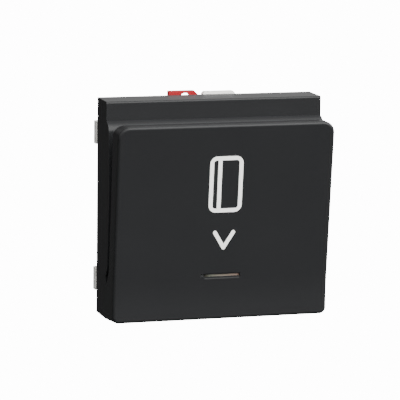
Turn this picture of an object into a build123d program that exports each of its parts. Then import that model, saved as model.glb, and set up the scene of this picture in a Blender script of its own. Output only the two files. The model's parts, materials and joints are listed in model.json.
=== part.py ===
from build123d import *
import os
from math import atan, atan2, cos, degrees, pi, radians, sin, sqrt, tan

# Hotel key card switch, two modules wide.
# Lengths are in millimetres. X runs to the right, Y into the wall and Z up.
# The origin is the middle of the bezel's rear rim, which sits on the wall plate.

# Face and bezel
module_pitch = 22.5
module_count = 2
face_height = 44.0
bezel_depth = 7.2
bezel_wall = 1.6
bezel_plate = 1.8
bezel_edge_round = 0.4
bezel_brow = 3.9
collar_wall = 1.6
collar_edge_round = 2.2
collar_round_rise = 33.5
collar_round_fade = 2.4
collar_knee_rise = 25.5
collar_knee_reach = 9.45
collar_reach_top = 9.0

# Card slot between the collar and the cover
slot_face_reach_top = 12.4
slot_face_reach_bend = 9.85
slot_mouth_round = 1.5
slot_throat = 1.4
slot_bend_rise = 11.4
slot_bend_radius = 6.2

# Front cover
cover_lip = 0.05
cover_reach_top = 16.55
cover_toe_reach = 13.0
cover_toe_rise = 5.5
cover_toe_round = 50.0
cover_wall = 1.6
cover_top_corner = 2.4
cover_low_corner = 1.3
cover_edge_round = 0.6
cover_rib_x = 11.0
cover_rib_thickness = 1.2
guide_plate = 1.2

# Indicator window
window_x = -0.3
window_rise = 9.15
window_width = 8.3
window_height = 0.65
window_recess = 0.35
lens_side_gap = 0.05

# Light guide behind the window
light_x = 0.3
light_width = 6.2
light_thickness = 0.9
light_head = 0.7
light_leg_top_rise = 5.05
light_leg_height = 1.35
light_bevel = 1.1

# Clearances
seat_gap = 0.05
running_gap = 0.05
slide_gap = 0.1
free_gap = 0.3
cut_overrun = 1.0

# Screws that hold the cover's foot
foot_screw_x = 15.0
foot_screw_rise = 5.4
foot_screw_radius = 0.95
foot_screw_bite = 4.0
foot_head_radius = 1.7
foot_head_height = 1.2
foot_boss_radius = 2.0
drive_width = 0.5
drive_depth = 0.6

# Housing behind the bezel
tray_side_gap = 0.7
tray_end_gap = 0.4
tray_wall = 1.4
tray_floor = 1.6
tray_depth = 7.0
tray_corner_round = 1.0
hook_x = 12.0
hook_width = 5.0
hook_height = 0.7
hook_depth = 1.2
hook_back = 1.4

# Side clips that snap into the wall frame
clip_upper_drop = 7.55
clip_lower_rise = 6.3
clip_width = 4.6
clip_reach = 2.0
clip_front = 2.2
clip_land = 1.7
clip_ramp = 1.3
clip_slit = 0.7
clip_root = 1.0

# Tabs above the housing
tab_front = 1.6
tab_thickness = 1.4
fixed_tab_x = 3.55
fixed_tab_width = 6.85
fixed_tab_height = 2.3
fixed_tab_bevel = 0.4

# Release latch
latch_x = -3.85
latch_width = 6.5
latch_rise = 2.55
latch_shoulder = 1.35
latch_body_height = 6.5
latch_bevel = 1.1
latch_eye_radius = 1.22
latch_eye_x = 0.22
latch_eye_margin = 0.4
latch_travel = 1.8
rail_wall = 1.2
rail_lip = 0.85

# Springs
spring_wire = 0.35
spring_radius = 1.3
spring_turns = 3
spring_wire_sides = 6
latch_spring_length = 5.2
lever_spring_length = 5.5
spring_shelf = 1.2
spring_shelf_half = 2.1
spring_nub_half = 0.65
spring_nub_height = 0.7

# Card lever
pin_setback = 3.0
pin_rise = 15.5
pin_radius = 1.0
hub_radius = 1.9
hub_half_length = 11.4
nose_half_width = 4.2
arm_half_width = 2.7
nose_gap = 0.27
nose_lift = 0.95
nose_height = 1.6
arm_shoulder_setback = 0.5
arm_neck = 2.4
arm_root = 1.6
lever_swing = 12.5
pad_drop = 3.0
pad_thickness = 1.9
bracket_thickness = 1.8
bracket_radius = 1.75

# Microswitch
plunger_x = -9.6
plunger_arm = 3.6
plunger_travel = 0.8
plunger_rest_gap = 0.15
plunger_radius = 0.8
plunger_show = 1.05
plunger_reach = 1.4
plunger_flange = 0.5
plunger_tip = 0.4
plunger_pad_half = 1.7
plunger_pad_front = 1.1
case_width = 12.8
case_height = 6.5
case_depth = 5.8
case_wall = 0.9
case_lid = 0.8
case_mid_setback = 0.1
contact_thickness = 0.4
blade_thickness = 0.25
blade_width = 2.8
blade_pivot_inset = 1.6
blade_end_gap = 0.7
blade_gap = 0.2
button_radius = 0.8
button_height = 0.35
contact_width = 1.0
post_thickness = 0.6
tail_setback = 0.7
tail_thickness = 0.6

# Circuit board and what is on it
board_thickness = 1.2
board_side = 0.6
board_right_x = 5.9
board_end_gap = 0.2
post_half = 1.0
post_pin_radius = 0.6
led_rise = 5.0
led_length = 3.5
led_width = 2.8
led_thickness = 1.9
led_cup_radius = 1.2
led_cup_depth = 0.6
resistor_rise = 10.0
resistor_length = 3.2
resistor_width = 1.6
resistor_thickness = 0.6
resistor_cap = 0.5
cap_proud = 0.05
diode_rise = 7.6
diode_length = 4.2
diode_width = 2.0
diode_thickness = 2.0
diode_bevel = 0.3
diode_foot = 1.3
diode_foot_reach = 0.5
diode_foot_thickness = 0.25

# Spring seat of the lever
lever_spring_x = 8.5
lever_spring_arm = 3.9
spring_pad_half = 1.9
spring_pad_front = 1.7

# Terminal block
terminal_pitch = 10.4
block_half_width = 16.2
block_rise = 4.6
block_depth = 13.4
block_lid = 1.6
block_wall = 1.5
block_rear_height = 11.4
block_front_height = 19.4
block_slope_depth = 6.0
cage_width = 6.4
cage_side = 1.1
cage_floor = 1.2
cage_head = 1.8
cage_length = 6.0
cage_lift = 0.4
bar_width = 3.8
bar_thickness = 0.8
bar_gap = 3.7
wire_radius = 1.8
leg_width = 1.0
line_leg_x = -13.3
load_leg_x = -4.8
neutral_leg_x = 2.6
neutral_tail = 2.2
screw_radius = 1.45
screw_head_radius = 2.6
screw_head_height = 1.5
screw_pitch = 0.5
screw_turns = 6.5
access_radius = 2.2
access_bevel = 0.4
lid_arm_thickness = 0.9
lid_arm_width = 4.0
lid_arm_length = 6.0
lid_barb = 0.5

# Faces and lines of the bezel and the slot
face_half = module_pitch * module_count / 2
face_top = face_height / 2
face_low = -face_top
plate_front = -bezel_depth
plate_back = plate_front + bezel_plate
collar_top = face_top - bezel_brow
cover_top = collar_top + cover_lip
slot_bend = face_low + slot_bend_rise
slot_lean = atan((slot_face_reach_top - slot_face_reach_bend) / (cover_top - slot_bend))
slot_normal = (cos(slot_lean), sin(slot_lean))
slot_face_low = (-slot_face_reach_bend, slot_bend)
slot_face_high = (-slot_face_reach_top, cover_top)
bend_center = (
    slot_face_low[0] + slot_bend_radius * slot_normal[0],
    slot_face_low[1] + slot_bend_radius * slot_normal[1],
)
collar_bend_radius = slot_bend_radius - slot_throat
collar_face_low = (
    slot_face_low[0] + slot_throat * slot_normal[0],
    slot_face_low[1] + slot_throat * slot_normal[1],
)
collar_knee = (-collar_knee_reach, face_low + collar_knee_rise)
collar_face_high = (-collar_reach_top, collar_top)
collar_round_low = face_low + collar_round_rise
toe_top = face_low + cover_toe_rise
front_slope = (cover_reach_top - cover_toe_reach) / (cover_top - toe_top)
toe_run = cover_toe_round * tan(atan(front_slope) / 2)
front_skew = sqrt(1 + front_slope**2)
window_z = face_low + window_rise
light_leg_top = face_low + light_leg_top_rise
foot_screw_z = face_low + foot_screw_rise

# Housing planes
tray_half_x = face_half - bezel_wall - tray_side_gap
tray_half_z = face_top - bezel_wall - tray_end_gap
tray_inner_x = tray_half_x - tray_wall
tray_inner_z = tray_half_z - tray_wall
floor_front = tray_depth - tray_floor
block_low = face_low + block_rise
block_back = tray_depth + block_depth
clip_upper_z = face_top - clip_upper_drop
clip_lower_z = face_low + clip_lower_rise
rail_length = latch_body_height + latch_travel - free_gap

# Lever, switch and board places
pin_z = face_low + pin_rise
pad_under = pin_z - pad_drop
plunger_y = pin_setback - plunger_arm
plunger_top = pad_under - plunger_rest_gap
case_top = plunger_top - plunger_show
case_low = case_top - case_height
case_front = plunger_y + case_mid_setback - case_depth / 2
case_back = case_front + case_depth
case_left = plunger_x - case_width / 2
case_right = case_left + case_width
board_front = case_back
board_back = board_front + board_thickness
board_top = case_top + case_wall
board_low = -tray_inner_z + board_end_gap
board_left = case_left - board_side
led_z = face_low + led_rise
resistor_z = face_low + resistor_rise
diode_z = face_low + diode_rise
tail_front = board_back + tail_setback
tail_back = tail_front + tail_thickness

# Planes inside the microswitch
cavity_top = case_top - case_wall
cavity_low = case_low + case_wall
plunger_low = cavity_top - plunger_reach
blade_top = plunger_low - blade_gap
blade_mid = blade_top - blade_thickness / 2
blade_pivot_x = case_right - blade_pivot_inset
blade_end_x = case_left + case_wall + blade_end_gap
button_x = blade_end_x + blade_end_gap
contact_low = cavity_low + seat_gap
blade_swing = degrees(atan(plunger_travel / (blade_pivot_x - plunger_x)))

# Terminal planes
cage_low = tray_depth + cage_lift
cage_seat = cage_low + cage_floor
bar_front = cage_seat + bar_gap
bar_back = bar_front + bar_thickness
cage_roof = bar_back + cage_lift
cage_back = cage_roof + cage_head
terminal_low = block_low + block_wall
cage_z = terminal_low + slide_gap + cage_length / 2
terminal_high = cage_z + cage_length / 2 + slide_gap
leg_low = terminal_high + slide_gap
leg_high = leg_low + bar_thickness
screw_tip = bar_back + slide_gap
screw_head_front = block_back - slide_gap - screw_head_height
wire_y = (cage_seat + bar_front) / 2
terminal_xs = [-terminal_pitch, 0, terminal_pitch]
leg_xs = [line_leg_x, load_leg_x, neutral_leg_x]


def span(x_range, y_range, z_range):
    # A block between two corners
    sizes = [high - low for low, high in (x_range, y_range, z_range)]
    mids = [(high + low) / 2 for low, high in (x_range, y_range, z_range)]
    return Pos(*mids) * Box(*sizes)


def around(middle, half):
    return (middle - half, middle + half)


def widened(limits):
    # The same stretch with a running gap at each end
    return (limits[0] - running_gap, limits[1] + running_gap)


def along_y(radius, x, z, y_range):
    # A round bar whose axis runs into the wall
    length = y_range[1] - y_range[0]
    middle = (y_range[0] + y_range[1]) / 2
    return Pos(x, middle, z) * Rot(90, 0, 0) * Cylinder(radius, length)


def along_x(radius, y, z, x_range):
    length = x_range[1] - x_range[0]
    middle = (x_range[0] + x_range[1]) / 2
    return Pos(middle, y, z) * Rot(0, 90, 0) * Cylinder(radius, length)


def along_z(radius, x, y, z_range):
    length = z_range[1] - z_range[0]
    middle = (z_range[0] + z_range[1]) / 2
    return Pos(x, y, middle) * Cylinder(radius, length)


def side_profile(face, x_range):
    # A side view of Y and Z, pulled along X
    placed = Plane.YZ.offset(x_range[0]) * face
    return extrude(placed, amount=x_range[1] - x_range[0])


def side_polygon(points, x_range):
    return side_profile(make_face(Polyline(*points, close=True)), x_range)


def plan_polygon(points, z_range):
    # An outline of X and Y, pulled along Z
    face = Pos(0, 0, z_range[0]) * make_face(Polyline(*points, close=True))
    return extrude(face, amount=z_range[1] - z_range[0])


def on_line(low, high, z):
    # How far back a leaning face lies at height z
    return low[0] + (z - low[1]) * (high[0] - low[0]) / (high[1] - low[1])


def slot_face(z):
    return on_line(slot_face_low, slot_face_high, z)


def collar_face(z):
    # The collar's upper face, which leans back above the knee
    return on_line(collar_knee, collar_face_high, z)


def cover_face(z):
    # The front leans down to the toe, and the toe is upright
    return -cover_toe_reach - max(z - toe_top, 0) * front_slope


def cover_inside(z):
    return cover_face(z) + cover_wall * front_skew


def bend_end(radius):
    # Height where a bend of this radius meets the plate's front
    run = plate_front - bend_center[0]
    return bend_center[1] - sqrt(radius**2 - run**2)


def bend_arc(radius):
    # The bend from the plate's front up to the leaning face
    start_angle = atan2(bend_end(radius) - bend_center[1], plate_front - bend_center[0])
    end_angle = slot_lean - pi
    middle_angle = (start_angle + end_angle) / 2
    points = []
    for angle in (start_angle, middle_angle, end_angle):
        points.append((bend_center[0] + radius * cos(angle), bend_center[1] + radius * sin(angle)))
    return ThreePointArc(*points)


def bend_top(radius):
    return (
        bend_center[0] - radius * slot_normal[0],
        bend_center[1] - radius * slot_normal[1],
    )


def face_outline(top, low, half_width, top_round, low_round, y_range):
    # The rounded front view, pulled through the depth
    outline = Pos(0, (top + low) / 2) * Rectangle(2 * half_width, top - low)
    outline = fillet(outline.vertices().group_by(Axis.Y)[-1], top_round)
    outline = fillet(outline.vertices().group_by(Axis.Y)[0], low_round)
    placed = Plane.XZ.offset(-y_range[1]) * outline
    return extrude(placed, amount=y_range[1] - y_range[0])


def bezel():
    low = bend_end(collar_bend_radius)
    bend = bend_arc(collar_bend_radius)
    fade_top = collar_round_low + collar_round_fade
    edges = Polyline(
        bend_top(collar_bend_radius),
        collar_knee,
        (collar_face(collar_round_low), collar_round_low),
        (plate_front, fade_top),
        (plate_back, fade_top),
        (plate_back, low),
        (plate_front, low),
    )
    collar = side_profile(make_face(edges + bend), (-face_half, face_half))
    collar += collar_rim()
    block = span((-face_half, face_half), (plate_front, 0), (face_low, face_top))
    rim = block.edges().filter_by(Axis.X).group_by(Axis.Y)[0].sort_by(Axis.Z)[-1]
    block = fillet(rim, bezel_edge_round)
    body = block + collar
    inner_x = face_half - bezel_wall
    inner_z = face_top - bezel_wall
    body -= span((-inner_x, inner_x), (plate_back, cut_overrun), (-inner_z, inner_z))
    hollow_top = collar_top - bezel_wall
    hollow_low = slot_bend + collar_wall - bezel_plate
    hollow = [
        (plate_back + cut_overrun, hollow_top),
        (collar_face(hollow_top) + collar_wall, hollow_top),
        (collar_knee[0] + collar_wall, collar_knee[1]),
        (collar_face_low[0] + collar_wall, hollow_low),
        (plate_back, hollow_low - bezel_plate),
        (plate_back + cut_overrun, hollow_low - bezel_plate),
    ]
    body -= side_polygon(hollow, (-inner_x, inner_x))
    body -= nose_window()
    body -= light_window()
    for side in (-1, 1):
        hole = foot_screw_radius + seat_gap + slide_gap
        reach = (plate_front - cut_overrun, plate_back + cut_overrun)
        body -= along_y(hole, side * foot_screw_x, foot_screw_z, reach)
    for side in (-1, 1):
        for end in (-1, 1):
            body += snap_hook(side * hook_x, end, inner_z)
    return body


def collar_rim():
    # The collar's upper part, rounded in front so that the card finds its way in
    outline = [
        (collar_face(collar_round_low), collar_round_low),
        collar_face_high,
        (plate_back, collar_top),
        (plate_back, collar_round_low),
    ]
    rim = side_polygon(outline, (-face_half, face_half))
    front = rim.faces().sort_by(Axis.Y)[0]
    return fillet(front.edges().sort_by(Axis.Z)[1:], collar_edge_round)


def snap_hook(x, end, inner_z):
    # A ridge inside the bezel that catches the housing
    tip = inner_z - hook_height
    points = [
        (-hook_back - hook_depth, end * inner_z),
        (-hook_back - hook_depth, end * tip),
        (-hook_back, end * inner_z),
    ]
    return side_polygon(points, around(x, hook_width / 2))


def nose_window():
    half = nose_half_width + nose_gap + slide_gap
    top = arm_top_at_plate() + free_gap
    low = nose_low() - nose_dip() - free_gap
    front = -slot_face_reach_top
    return span((-half, half), (front, plate_back + cut_overrun), (low, top))


def nose_dip():
    # How far the nose's lower corner sinks as the lever tips
    swing = radians(lever_swing)
    reach = pin_setback - nose_tip_y()
    drop = pin_z - nose_low()
    return reach * sin(swing) - drop * (1 - cos(swing))


def nose_top():
    return slot_bend + nose_lift


def nose_low():
    return nose_top() - nose_height - arm_shoulder_setback


def nose_tip_y():
    return slot_face(nose_top()) + nose_gap


def arm_top_at_plate():
    return nose_top() + nose_lift


def light_window():
    half = light_width / 2 + slide_gap
    low = light_leg_top - light_leg_height - slide_gap
    depth = (plate_front - cut_overrun, plate_back + cut_overrun)
    return span(around(light_x, half), depth, (low, light_leg_top + slide_gap))


def front_cover():
    lean_end = toe_top + toe_run * cos(atan(front_slope))
    lean = (cover_face(lean_end), lean_end)
    toe = (-cover_toe_reach, toe_top - toe_run)
    back = Polyline(
        bend_top(slot_bend_radius),
        slot_face_high,
        (-cover_reach_top, cover_top),
        lean,
    )
    foot = Polyline(
        toe,
        (-cover_toe_reach, face_low),
        (plate_front, face_low),
        (plate_front, bend_end(slot_bend_radius)),
    )
    toe_bend = TangentArc(toe, lean, tangent=(0, 1))
    profile = make_face(back + toe_bend + foot + bend_arc(slot_bend_radius))
    body = side_profile(profile, (-face_half, face_half))
    mouth = body.edges().filter_by(Axis.X).group_by(Axis.Z)[-1].sort_by(Axis.Y)[-1]
    body = fillet(mouth, slot_mouth_round)
    front = -cover_reach_top - cut_overrun
    body &= face_outline(cover_top, face_low, face_half, cover_top_corner, cover_low_corner, (front, 0))
    body = fillet(front_rim(body, lean_end), cover_edge_round)
    solid = body
    top = cover_top - cover_wall
    low = face_low + cover_wall
    hollow = [
        (cover_inside(top), top),
        (cover_inside(toe_top), toe_top),
        (cover_inside(low), low),
        (cut_overrun, low),
        (cut_overrun, top),
    ]
    inner_half = face_half - cover_wall
    body -= side_polygon(hollow, (-inner_half, inner_half))
    for side in (-1, 1):
        rib = [
            (cover_face(top) + cover_wall / 2, top),
            (cover_face(slot_bend) + cover_wall / 2, slot_bend),
            (slot_face(slot_bend) - (guide_plate + seat_gap) / cos(slot_lean), slot_bend),
            (slot_face(top) - (guide_plate + seat_gap) / cos(slot_lean), top),
        ]
        body += side_polygon(rib, around(side * cover_rib_x, cover_rib_thickness / 2))
        reach = (-cover_reach_top, plate_front)
        post = along_y(foot_boss_radius, side * foot_screw_x, foot_screw_z, reach)
        body += post & solid
        bore = foot_screw_radius + running_gap
        depth = plate_front - foot_screw_bite - free_gap
        body -= along_y(bore, side * foot_screw_x, foot_screw_z, (depth, 0))
    depth = (-cover_reach_top, cover_inside(window_z) + cover_wall / 2)
    opening = around(window_x, window_width / 2)
    body -= span(opening, depth, around(window_z, window_height / 2))
    return body


def front_rim(body, lean_end):
    # The edges round the whole front, without the seams across it
    rim = []
    for edge in body.edges():
        box = edge.bounding_box()
        ahead = box.max.Y < cover_face(edge.center().Z) + cover_edge_round
        across = box.size.Z < running_gap and face_low + running_gap < edge.center().Z < lean_end + running_gap
        if ahead and not across:
            rim.append(edge)
    return rim


def card_guide():
    top = cover_top - cover_wall - seat_gap
    outer_radius = slot_bend_radius + guide_plate
    side = face_half - cover_wall - slide_gap
    slot_side = Line((slot_face(top), top), bend_top(slot_bend_radius))
    upper = Line((slot_face(top) - guide_plate / cos(slot_lean), top), (slot_face(top), top))
    hidden_side = Line(bend_top(outer_radius), (slot_face(top) - guide_plate / cos(slot_lean), top))
    foot = Line((plate_front, bend_end(slot_bend_radius)), (plate_front, bend_end(outer_radius)))
    edges = slot_side + bend_arc(slot_bend_radius) + foot + bend_arc(outer_radius) + hidden_side + upper
    body = side_profile(make_face(edges), (-side, side))
    behind_cover = [
        (cover_inside(top) + seat_gap, top),
        (cover_inside(toe_top) + seat_gap, toe_top),
        (cover_inside(face_low) + seat_gap, face_low),
        (0, face_low),
        (0, top),
    ]
    body &= side_polygon(behind_cover, (-side, side))
    for end in (-1, 1):
        notch = foot_boss_radius + slide_gap
        body -= along_y(notch, end * foot_screw_x, foot_screw_z, (-cover_reach_top, 0))
    return body


def light_guide():
    head_top = window_z + light_head
    head = cover_inside(head_top) + seat_gap
    leg_low = light_leg_top - light_leg_height
    leg_end = board_front - led_thickness - free_gap
    foot = cover_inside(leg_low) + seat_gap
    inner = foot + light_thickness
    points = [
        (head, head_top),
        (foot, toe_top),
        (foot, leg_low + light_bevel),
        (foot + light_bevel, leg_low),
        (leg_end, leg_low),
        (leg_end, light_leg_top),
        (inner + light_bevel, light_leg_top),
        (inner, light_leg_top + light_bevel),
        (head + light_thickness, head_top),
    ]
    body = side_polygon(points, around(light_x, light_width / 2))
    lens_low = window_z - window_height / 2 + lens_side_gap
    lens_top = window_z + window_height / 2 - lens_side_gap
    lens = [
        (cover_face(lens_low) + window_recess, lens_low),
        (cover_inside(lens_low) + light_thickness / 2, lens_low),
        (cover_inside(lens_top) + light_thickness / 2, lens_top),
        (cover_face(lens_top) + window_recess, lens_top),
    ]
    return body + side_polygon(lens, around(window_x, window_width / 2 - lens_side_gap))


def foot_screws():
    screws = []
    for side in (-1, 1):
        x = side * foot_screw_x
        head = along_y(foot_head_radius, x, foot_screw_z, (plate_back, plate_back + foot_head_height))
        shank = along_y(foot_screw_radius, x, foot_screw_z, (plate_front - foot_screw_bite, plate_back))
        slot_depth = (plate_back + foot_head_height - drive_depth, plate_back + foot_head_height + cut_overrun)
        cross_x = span(around(x, foot_head_radius / 2), slot_depth, around(foot_screw_z, drive_width / 2))
        cross_z = span(around(x, drive_width / 2), slot_depth, around(foot_screw_z, foot_head_radius / 2))
        screws.append(head + shank - cross_x - cross_z)
    return Compound(children=screws)


def mechanism_base():
    tray = face_outline(
        tray_half_z, -tray_half_z, tray_half_x, tray_corner_round, tray_corner_round,
        (plate_back, tray_depth),
    )
    body = tray + terminal_block()
    inner_x = (-tray_inner_x, tray_inner_x)
    inner_z = (-tray_inner_z, tray_inner_z)
    body -= span(inner_x, (plate_back - cut_overrun, floor_front), inner_z)
    for side in (-1, 1):
        for z in (clip_upper_z, clip_lower_z):
            body -= clip_slits(side, z)
            body += clip_nose(side, z)
        for end in (-1, 1):
            body -= hook_window(side * hook_x, end)
    body += lever_brackets()
    body += spring_seat(lever_spring_x, pin_setback - lever_spring_arm, lever_spring_low())
    body += spring_seat(latch_x, tab_front + tab_thickness / 2, latch_spring_low())
    body += board_posts()
    body += latch_rails()
    body -= latch_slot()
    body += fixed_tab()
    for x, leg_x in zip(terminal_xs, leg_xs):
        body -= terminal_pocket(x, leg_x)
    return body


def terminal_block():
    low = block_low
    inside = tray_depth - tray_floor / 2
    slope_start = tray_depth + block_slope_depth
    points = [
        (inside, low),
        (block_back, low),
        (block_back, low + block_rear_height),
        (slope_start, low + block_front_height),
        (inside, low + block_front_height),
    ]
    block = side_polygon(points, (-block_half_width, block_half_width))
    for side in (-1, 1):
        inner = block_half_width - lid_arm_thickness - slide_gap
        x_range = sorted((side * inner, side * (block_half_width + cut_overrun)))
        z_range = around(lid_arm_z(), lid_arm_width / 2 + slide_gap)
        depth = (block_back - lid_arm_length - slide_gap, block_back + cut_overrun)
        block -= span(x_range, depth, z_range)
        x_range = sorted((side * (inner - lid_barb), side * inner))
        depth = (block_back - lid_arm_length - slide_gap, block_back - lid_arm_length + 2 * lid_barb)
        block -= span(x_range, depth, z_range)
    return block


def lid_arm_z():
    return block_low + block_rear_height / 2


def terminal_pocket(x, leg_x):
    # Room for one clamp: its cage, bar, screw and wire
    half = cage_width / 2 + slide_gap
    depth = (cage_low - slide_gap, block_back + cut_overrun)
    room = span(around(x, half), depth, (terminal_low, terminal_high))
    leg_z = (terminal_high - slide_gap, leg_high + slide_gap)
    leg_half = leg_width / 2 + slide_gap
    room += span(around(leg_x, leg_half), (floor_front - cut_overrun, block_back + cut_overrun), leg_z)
    low_x = min(leg_x - leg_width / 2, x - bar_width / 2) - slide_gap
    high_x = max(leg_x + leg_width / 2, x + bar_width / 2) + slide_gap
    room += span((low_x, high_x), (bar_front, block_back + cut_overrun), leg_z)
    return room + along_z(wire_radius, x, wire_y, (block_low - cut_overrun, terminal_low + cut_overrun))


def clip_slits(side, z):
    # The slots that free a tongue of the side wall
    inner = tray_inner_x - cut_overrun
    x_range = sorted((side * inner, side * (tray_half_x + cut_overrun)))
    edge = clip_width / 2
    front = clip_front - clip_root - clip_land
    back = clip_front + clip_land + clip_ramp
    cut = span(x_range, (front, back), (z + edge, z + edge + clip_slit))
    cut += span(x_range, (front, back), (z - edge - clip_slit, z - edge))
    return cut


def clip_nose(side, z):
    wall = side * (tray_half_x - tray_wall / 2)
    tip = side * (tray_half_x + clip_reach)
    points = [
        (wall, clip_front),
        (tip, clip_front),
        (tip, clip_front + clip_land),
        (side * tray_half_x, clip_front + clip_land + clip_ramp),
        (wall, clip_front + clip_land + clip_ramp),
    ]
    return plan_polygon(points, around(z, clip_width / 2))


def hook_window(x, end):
    depth = (-hook_back - hook_depth - slide_gap, -hook_back + slide_gap)
    z_range = sorted((end * (tray_inner_z - cut_overrun), end * (tray_half_z + cut_overrun)))
    return span(around(x, hook_width / 2 + slide_gap), depth, z_range)


def lever_brackets():
    brackets = None
    for side in (-1, 1):
        inner = hub_half_length + free_gap
        x_range = sorted((side * inner, side * (inner + bracket_thickness)))
        eye = along_x(bracket_radius, pin_setback, pin_z, x_range)
        stem = span(x_range, (pin_setback, tray_depth - tray_floor / 2), around(pin_z, bracket_radius))
        bore = along_x(pin_radius + running_gap, pin_setback, pin_z, x_range)
        bracket = eye + stem - bore
        brackets = bracket if brackets is None else brackets + bracket
    return brackets


def spring_seat(x, y, top):
    # A shelf from the floor with a nub that holds the spring
    x_range = around(x, spring_shelf_half)
    shelf = span(x_range, (y - spring_shelf_half, tray_depth - tray_floor / 2), (top - spring_shelf, top))
    nub = (top - spring_shelf / 2, top + spring_nub_height)
    return shelf + span(around(x, spring_nub_half), around(y, spring_nub_half), nub)


def lever_spring_low():
    return pad_under - lever_spring_length


def latch_low():
    return tray_inner_z - slide_gap - latch_body_height


def latch_spring_low():
    return latch_low() - latch_spring_length


def post_places():
    inset = post_half + board_end_gap
    right = board_right_x - inset
    return [
        (right, board_top - inset),
        (right, board_low + inset),
        ((leg_xs[0] + load_leg_x) / 2, board_top - inset),
        ((leg_xs[0] + load_leg_x) / 2, board_low + inset),
    ]


def board_posts():
    posts = None
    for x, z in post_places():
        post = span(around(x, post_half), (board_back, tray_depth - tray_floor / 2), around(z, post_half))
        posts = post if posts is None else posts + post
    for x, z in post_places()[:2]:
        posts += along_y(post_pin_radius, x, z, (board_front, board_back + cut_overrun))
    return posts


def latch_rails():
    half = latch_width / 2 + latch_shoulder + slide_gap
    rails = None
    for side in (-1, 1):
        x_range = sorted((latch_x + side * (half - rail_lip), latch_x + side * (half + rail_wall)))
        front = tab_front - slide_gap - rail_wall
        z_range = (tray_inner_z - rail_length, tray_half_z - tray_wall / 2)
        rail = span(x_range, (front, tray_depth - tray_floor / 2), z_range)
        rails = rail if rails is None else rails + rail
    depth = (tab_front - slide_gap, tab_front + tab_thickness + slide_gap)
    height = (tray_inner_z - rail_length - cut_overrun, tray_inner_z)
    return rails - span(around(latch_x, half), depth, height)


def latch_slot():
    half = latch_width / 2 + slide_gap
    depth = (tab_front - slide_gap, tab_front + tab_thickness + slide_gap)
    return span(around(latch_x, half), depth, (tray_inner_z - slide_gap, tray_half_z + cut_overrun))


def fixed_tab():
    top = tray_half_z + fixed_tab_height
    base = tray_half_z - tray_wall / 2
    left, right = around(fixed_tab_x, fixed_tab_width / 2)
    points = [
        (left, base),
        (right, base),
        (right, top - fixed_tab_bevel),
        (right - fixed_tab_bevel, top),
        (left + fixed_tab_bevel, top),
        (left, top - fixed_tab_bevel),
    ]
    face = Plane.XZ.offset(-tab_front - tab_thickness) * make_face(Polyline(*points, close=True))
    return extrude(face, amount=tab_thickness)


def release_latch():
    top = tray_half_z + latch_rise
    shoulder = tray_inner_z - slide_gap
    low = latch_low()
    left, right = around(latch_x, latch_width / 2)
    points = [
        (left - latch_shoulder, low),
        (right + latch_shoulder, low),
        (right + latch_shoulder, shoulder),
        (right, shoulder),
        (right, top - latch_bevel),
        (right - latch_bevel, top),
        (left, top),
        (left, shoulder),
        (left - latch_shoulder, shoulder),
    ]
    plate = make_face(Polyline(*points, close=True))
    eye_z = top - latch_eye_margin - latch_eye_radius
    eye = Pos(latch_x + latch_eye_x, eye_z) * Circle(latch_eye_radius)
    below = Pos(latch_x, eye_z - latch_eye_radius) * Rectangle(latch_width, 2 * latch_eye_radius - 2 * seat_gap)
    plate -= eye - below
    face = Plane.XZ.offset(-tab_front - tab_thickness) * plate
    return extrude(face, amount=tab_thickness)


def coil_spring(x, y, low, length):
    # A compression spring that stands on its seat
    height = length - spring_wire - 2 * seat_gap
    path = Helix(height / spring_turns, height, spring_radius)
    section = Plane(origin=path @ 0, z_dir=path % 0) * RegularPolygon(spring_wire / 2, spring_wire_sides)
    wire = sweep(section, path=path, is_frenet=True)
    return Pos(x, y, low + seat_gap + spring_wire / 2) * wire


def lever_spring():
    return coil_spring(lever_spring_x, pin_setback - lever_spring_arm, lever_spring_low(), lever_spring_length)


def latch_spring():
    return coil_spring(latch_x, tab_front + tab_thickness / 2, latch_spring_low(), latch_spring_length)


def card_lever():
    hub = along_x(hub_radius, pin_setback, pin_z, (-hub_half_length, hub_half_length))
    tip = nose_tip_y()
    top = nose_top()
    low = nose_low()
    arm = [
        (pin_setback - arm_root / 2, pin_z + arm_root),
        (plate_back + arm_shoulder_setback, arm_top_at_plate()),
        (tip + arm_shoulder_setback, top + arm_shoulder_setback / 2),
        (tip, top - arm_shoulder_setback / 2),
        (tip, top - nose_height),
        (tip + arm_shoulder_setback, low),
        (plate_back + arm_shoulder_setback, arm_top_at_plate() - arm_neck),
        (pin_setback - arm_root / 2, pin_z - arm_root),
    ]
    body = hub + side_polygon(arm, (-arm_half_width, arm_half_width))
    nose = side_polygon(arm, (-nose_half_width, nose_half_width))
    body += nose & span((-face_half, face_half), (-slot_face_reach_top, plate_back), (face_low, face_top))
    switch_pad = (plunger_y - plunger_pad_front, pin_setback)
    pad_z = (pad_under, pad_under + pad_thickness)
    body += span(around(plunger_x, plunger_pad_half), switch_pad, pad_z)
    spring_pad = (pin_setback - lever_spring_arm - spring_pad_front, pin_setback)
    body += span(around(lever_spring_x, spring_pad_half), spring_pad, pad_z)
    return body - along_x(pin_radius + running_gap, pin_setback, pin_z, (-face_half, face_half))


def lever_pin():
    half = hub_half_length + free_gap + bracket_thickness
    return along_x(pin_radius, pin_setback, pin_z, (-half, half))


def microswitch_case():
    shell_front = case_front + case_lid
    body = span((case_left, case_right), (shell_front, case_back), (case_low, case_top))
    inner_x = (case_left + case_wall, case_right - case_wall)
    inner_y = (shell_front - cut_overrun, case_back - case_wall)
    body -= span(inner_x, inner_y, (cavity_low, cavity_top))
    body -= along_z(plunger_radius + running_gap, plunger_x, plunger_y, (cavity_top - case_wall, face_top))
    for x_range, z_range in contact_pins():
        body -= span(widened(x_range), (plunger_y, case_back + cut_overrun), widened(z_range))
    return body


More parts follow.
